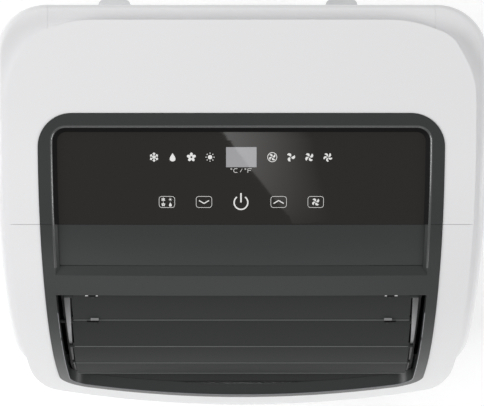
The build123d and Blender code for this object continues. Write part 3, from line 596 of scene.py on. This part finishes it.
rim_gloss = moulded("rim_gloss", (0.060, 0.062, 0.062), 0.22, bump=0.0, cloud=0.05, specular=0.95)
# Near-black: a gasket round the glass, and painted shade in that gap and in the clips' slots
gasket_and_shade_black = moulded(
    "gasket_and_shade_black", (0.004, 0.004, 0.004), 0.7, bump=0.1, cloud=0.1, specular=0.15
)
rim_strip("rim_bead", BEAD_SECTION, RECESS_FRONT, rim_gloss)
rim_strip("glass_gasket_shade", GASKET_SHADE_SECTION, PARTING_Y, gasket_and_shade_black)


# ---------------------------------------------------------------- outlet lip, blade lips and clips
# Pale lip round the lower part of the air outlet: a painted highlight along the opening's edge
RAIL = 0.0098                             # width of the bezel beside the outlet
OUTLET_FOOT = 0.499 + RAIL
OUTLET_CORNER = 0.027 - RAIL
OUTLET_HALF = BEZEL_HALF - RAIL
LIP_RADIUS = 0.00045
LIP_RISE = 0.0004                         # the lip's middle stands this far out of the skin
LIP_START = -0.100
LIP_PITCH = 0.004
LIP_CORNER_STEPS = 8
LIP_FOOT_STEPS = 20

lip_highlight_paint = moulded("lip_highlight_paint", (0.22, 0.225, 0.235), 0.3, bump=0.0, cloud=0.05)
lip_path = []
for step in range(30):
    y = LIP_START - LIP_PITCH * step
    z = skin_height(OUTLET_HALF, y, LIP_RISE)
    if z > OUTLET_FOOT + OUTLET_CORNER and y > FRONT_Y:
        lip_path.append((OUTLET_HALF, y, z))
for step in range(LIP_CORNER_STEPS + 1):
    turn = radians(90 * step / LIP_CORNER_STEPS)
    x = OUTLET_HALF - OUTLET_CORNER * (1 - cos(turn))
    z = OUTLET_FOOT + OUTLET_CORNER * (1 - sin(turn))
    lip_path.append((x, skin_front(x, z, LIP_RISE), z))
for step in range(1, LIP_FOOT_STEPS + 1):
    x = (OUTLET_HALF - OUTLET_CORNER) * (1 - step / LIP_FOOT_STEPS)
    lip_path.append((x, skin_front(x, OUTLET_FOOT, LIP_RISE), OUTLET_FOOT))
lip_path += [(-x, y, z) for x, y, z in reversed(lip_path[:-1])]
tube("outlet_lip_highlight", lip_path, LIP_RADIUS, lip_highlight_paint, "casing")

# Fine pale bead along each blade's lower edge, a painted highlight where the edge catches the light: the
# edge's place in side view, and half its length
BLADE_EDGES = ((-0.1074, 0.6255), (-0.1338, 0.5976), (-0.1520, 0.5643), (-0.1651, 0.5284))
BLADE_HALVES = (0.1542, 0.1556, 0.1574, 0.1586)
BLADE_HIGHLIGHT_RADIUS = 0.0005
edge_highlight_grey = moulded("edge_highlight_grey", (0.12, 0.125, 0.124), 0.5, bump=0.02, cloud=0.06)
for number, ((edge_y, edge_z), half) in enumerate(zip(BLADE_EDGES, BLADE_HALVES), 1):
    rod(
        f"blade_highlight_{number}",
        (-half, edge_y, edge_z),
        (half, edge_y, edge_z),
        BLADE_HIGHLIGHT_RADIUS,
        edge_highlight_grey,
        f"louvre_blade_{number}",
    )

# Small pale marks at the bar's edge are painted glints of light seen past the first blade; a grey tab sits
# between the first two blades; the dark slots and strips beside them are painted shade
glint_white = moulded("glint_white", (0.80, 0.80, 0.80), 0.4, bump=0.02, cloud=0.02)
clip_grey = moulded("clip_grey", (0.24, 0.24, 0.245), 0.4, bump=0.02, cloud=0.03)
CLIPS = (                                 # name, middle, size, material, body
    ("glint_outer", (0.1395, -0.0832, 0.6567), (0.0026, 0.0016, 0.0014), glint_white, "casing"),
    ("glint_inner", (0.1303, -0.0832, 0.6567), (0.0018, 0.0018, 0.0014), glint_white, "casing"),
    ("clip_slot_shade", (0.1352, -0.0838, 0.6562), (0.0110, 0.0012, 0.0010), gasket_and_shade_black, "casing"),
    ("clip_tab", (0.1345, -0.1066, 0.6279), (0.0072, 0.0024, 0.0012), clip_grey, "louvre_blade_1"),
    ("clip_shade", (0.1365, -0.1087, 0.6256), (0.0110, 0.0016, 0.0008), gasket_and_shade_black, "louvre_blade_1"),
)
for side, hand in ((-1, "left"), (1, "right")):
    for name, (x, y, z), size, material, body in CLIPS:
        block(f"{name}_{hand}", (side * x, y, z), size, material, body)


# ---------------------------------------------------------------- camera and floor
CAMERA_HEIGHT = 2.315
CAMERA_X = 0.0006
SENSOR = 0.036
VIEW_WIDTH = 0.4211                       # width seen at the height of the top cover
FLOOR_HALF = 14.0
FLOOR_GLOW = 0.17

camera_data = bpy.data.cameras.new("camera")
camera_data.sensor_width = SENSOR * 1000
camera_data.lens = SENSOR * 1000 * (CAMERA_HEIGHT - HEIGHT) / VIEW_WIDTH
camera = bpy.data.objects.new("camera", camera_data)
camera.location = (CAMERA_X, 0, CAMERA_HEIGHT)
bpy.context.scene.collection.objects.link(camera)
bpy.context.scene.camera = camera

floor_paint = moulded("floor_paint", (0.92, 0.92, 0.92), 0.8, grain=40, bump=0.02, cloud=0.004, specular=0.1)
floor_shader = floor_paint.node_tree.nodes["Principled BSDF"]
floor_shader.inputs["Emission Color"].default_value = (1, 1, 1, 1)
floor_shader.inputs["Emission Strength"].default_value = FLOOR_GLOW
floor_corners = [
    (side * FLOOR_HALF, end * FLOOR_HALF, 0) for side, end in ((-1, -1), (1, -1), (1, 1), (-1, 1))
]
floor = new_object("floor", new_mesh("floor", floor_corners, [[0, 1, 2, 3]]), floor_paint)


# ---------------------------------------------------------------- light
WORLD_LIGHT = 0.35
LIGHT_AIM = Vector((0, 0, 0.5))
LIGHTS = (                                # name, place, width, depth, power
    ("key_left", (-2.6, -0.2, 2.2), 2.0, 2.0, 66),
    ("fill_front", (-0.3, -3.0, 1.6), 2.4, 1.2, 9),
    ("fill_right", (2.7, -1.1, 2.0), 1.6, 1.6, 42),
    ("back_soft", (0.2, 2.6, 2.4), 2.4, 1.4, 22),
)
for name, place, width, depth, power in LIGHTS:
    lamp = bpy.data.lights.new(name, "AREA")
    lamp.shape = "RECTANGLE"
    lamp.size = width
    lamp.size_y = depth
    lamp.energy = power
    light = bpy.data.objects.new(name, lamp)
    light.location = place
    light.rotation_euler = (LIGHT_AIM - Vector(place)).to_track_quat("-Z", "Y").to_euler()
    bpy.context.scene.collection.objects.link(light)

world = bpy.data.worlds.new("studio")
world.use_nodes = True
world.node_tree.nodes["Background"].inputs["Color"].default_value = (1, 1, 1, 1)
world.node_tree.nodes["Background"].inputs["Strength"].default_value = WORLD_LIGHT
bpy.context.scene.world = world
bpy.context.scene.view_settings.view_transform = "Standard"


# ---------------------------------------------------------------- reflection card
# A card high over the machine and in front of it, which the glass mirrors as a slanting sheen. Its
# brightness falls to that of the world from left to right, and dims from the back to the front.
CARD_HEIGHT = 3.21
CARD_WIDTH = 0.19
CARD_GLOW = 2.35
CARD_FRONT_SHARE = 0.08
SHEEN_STEPS = 24
SHEEN_BACK = Vector((-0.0177, 0.0640))    # where the sheen's edge starts and ends on the glass
SHEEN_FRONT = Vector((0.0449, -0.0189))


def mirrored(x, y, height):
    """Point at a height that the camera sees mirrored in the glass at x, y."""
    step = 0.001
    here = Vector((x, y, skin_height(x, y, -GLASS_DEPTH)))
    slope_x = (skin_height(x + step, y) - skin_height(x - step, y)) / (2 * step)
    slope_y = (skin_height(x, y + step) - skin_height(x, y - step)) / (2 * step)
    normal = Vector((-slope_x, -slope_y, 1)).normalized()
    sight = (here - camera.location).normalized()
    out = sight - 2 * sight.dot(normal) * normal
    return here + out * ((height - here.z) / out.z)


def card_material():
    """Emission that fades across the card and along it, by the card's own UV map."""
    made = bpy.data.materials.new("card_paint")
    made.use_nodes = True
    tree, links = made.node_tree.nodes, made.node_tree.links
    tree.remove(tree["Principled BSDF"])
    place = tree.new("ShaderNodeUVMap")
    split = tree.new("ShaderNodeSeparateXYZ")
    fade = tree.new("ShaderNodeMapRange")
    fade.inputs["To Min"].default_value = CARD_GLOW
    fade.inputs["To Max"].default_value = 0.0
    dim = tree.new("ShaderNodeMapRange")
    dim.inputs["To Min"].default_value = 1.0
    dim.inputs["To Max"].default_value = CARD_FRONT_SHARE
    both = tree.new("ShaderNodeMath")
    both.operation = "MULTIPLY_ADD"
    both.inputs[2].default_value = WORLD_LIGHT
    glow = tree.new("ShaderNodeEmission")
    links.new(place.outputs["UV"], split.inputs["Vector"])
    links.new(split.outputs["X"], fade.inputs["Value"])
    links.new(split.outputs["Y"], dim.inputs["Value"])
    links.new(fade.outputs["Result"], both.inputs[0])
    links.new(dim.outputs["Result"], both.inputs[1])
    links.new(both.outputs["Value"], glow.inputs["Strength"])
    links.new(glow.outputs["Emission"], tree["Material Output"].inputs["Surface"])
    return made


sheen_line = [SHEEN_BACK.lerp(SHEEN_FRONT, step / SHEEN_STEPS) for step in range(SHEEN_STEPS + 1)]
edge = [mirrored(*spot, CARD_HEIGHT) for spot in sheen_line]
beyond = [spot + Vector((CARD_WIDTH, 0, 0)) for spot in edge]
row = SHEEN_STEPS + 1
card_patches = [[step, step + 1, step + 1 + row, step + row] for step in range(SHEEN_STEPS)]
card_mesh = new_mesh("card", edge + beyond, card_patches)
across = card_mesh.uv_layers.new(name="across")
for loop in card_mesh.loops:
    side, step = divmod(loop.vertex_index, row)
    across.data[loop.index].uv = (side, step / SHEEN_STEPS)
card = new_object("card", card_mesh, card_material())
card.visible_camera = False               # seen only as a reflection
card.visible_diffuse = False
card.visible_shadow = False
